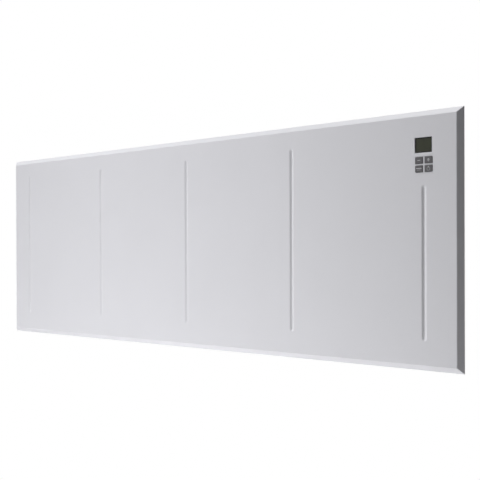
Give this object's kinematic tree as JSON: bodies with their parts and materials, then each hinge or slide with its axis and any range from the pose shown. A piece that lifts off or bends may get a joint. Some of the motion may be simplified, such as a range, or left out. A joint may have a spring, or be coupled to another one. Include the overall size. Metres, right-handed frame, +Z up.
{
  "type": "wall panel convector heater",
  "caption": "Slim electric wall panel convector: grooved bevelled front, keypad and display at the right, finned element in a rear casing, hung on a hooked wall bracket.",
  "frame": {"origin": "centre of the bracket's four fixing holes, on the wall plane", "axes": "+X right along the wall as seen from the room, +Y into the wall, +Z up"},
  "size_m": [1.2, 0.075, 0.4],
  "materials": {
    "panel_enamel": "satin white powder coat",
    "casing_enamel": "satin white powder coat",
    "grille_enamel": "satin white powder coat",
    "aluminised_steel": "bright rolled",
    "zinc_steel": "zinc plated",
    "bracket_zinc": "galvanised",
    "rivet_steel": "zinc plated",
    "element_aluminium": "mill finish",
    "rod_steel": "satin stainless",
    "ceramic": "unglazed steatite",
    "rubber_black": "matt",
    "moulded_black": "fine texture",
    "moulded_grey": "fine texture",
    "moulded_blue": "smooth",
    "nylon_white": "smooth",
    "circuit_board": "solder resist",
    "window_smoke": "polished",
    "display_panel": "polished",
    "key_grey": "satin",
    "core_steel": "varnished laminations",
    "coil_tape": "polyester tape",
    "capacitor_sleeve": "shrink sleeve",
    "cable_grey": "smooth",
    "lead_brown": "silicone",
    "lead_blue": "silicone",
    "lead_green": "silicone",
    "sensor_epoxy": "cast resin",
    "brass_nut": "turned"
  },
  "bodies": {
    "wall_bracket": {"bracket_upright_left": "bracket_zinc", "bracket_upright_right": "bracket_zinc", "bracket_rail_lower": "bracket_zinc", "bracket_rail_upper": "bracket_zinc", "bracket_rivets": "rivet_steel"},
    "heater": {"front_panel": "panel_enamel", "rear_casing": "casing_enamel", "outlet_grille": "grille_enamel", "heat_shield": "aluminised_steel", "control_partition": "zinc_steel", "heating_element": "element_aluminium", "heater_rod": "rod_steel", "terminal_pins": "rod_steel", "element_support_left": "zinc_steel", "element_support_right": "zinc_steel", "element_bushes": "ceramic", "lead_bushes": "rubber_black", "overheat_cutout": "moulded_black", "control_housing": "moulded_black", "housing_clips": "zinc_steel", "display_board": "circuit_board", "display_window": "window_smoke", "display_module": "display_panel", "key_switches": "moulded_black", "power_board": "circuit_board", "board_pillars": "nylon_white", "terminal_block": "nylon_white", "terminal_screws": "rod_steel", "relay": "moulded_blue", "transformer_core": "core_steel", "transformer_coil": "coil_tape", "capacitors": "capacitor_sleeve", "display_cable": "cable_grey", "cutout_to_element_lead": "lead_brown", "board_to_cutout_lead": "lead_brown", "neutral_lead": "lead_blue", "earth_stud": "zinc_steel", "earth_nuts": "brass_nut", "earth_lead": "lead_green", "room_sensor": "sensor_epoxy", "sensor_clip": "nylon_white", "sensor_plug": "nylon_white", "sensor_lead": "cable_grey", "cable_gland": "moulded_grey", "gland_nut": "moulded_grey", "casing_screws": "zinc_steel", "wall_buffers": "rubber_black"},
    "key_minus_cap": {"key_minus": "key_grey"},
    "key_plus_cap": {"key_plus": "key_grey"},
    "key_mode_cap": {"key_mode": "key_grey"},
    "key_power_cap": {"key_power": "key_grey"}
  },
  "joints": [
    {"name": "lift_off", "type": "slide", "parent": "wall_bracket", "child": "heater", "axis": [0, 0, 1], "range_m": [0, 0.01]},
    {"name": "key_minus_press", "type": "slide", "parent": "heater", "child": "key_minus_cap", "axis": [0, 1, 0], "range_m": [0, 0.0005], "stiffness_N_per_m": 1500, "springref_m": -0.0008},
    {"name": "key_plus_press", "type": "slide", "parent": "heater", "child": "key_plus_cap", "axis": [0, 1, 0], "range_m": [0, 0.0005], "stiffness_N_per_m": 1500, "springref_m": -0.0008},
    {"name": "key_mode_press", "type": "slide", "parent": "heater", "child": "key_mode_cap", "axis": [0, 1, 0], "range_m": [0, 0.0005], "stiffness_N_per_m": 1500, "springref_m": -0.0008},
    {"name": "key_power_press", "type": "slide", "parent": "heater", "child": "key_power_cap", "axis": [0, 1, 0], "range_m": [0, 0.0005], "stiffness_N_per_m": 1500, "springref_m": -0.0008}
  ]
}
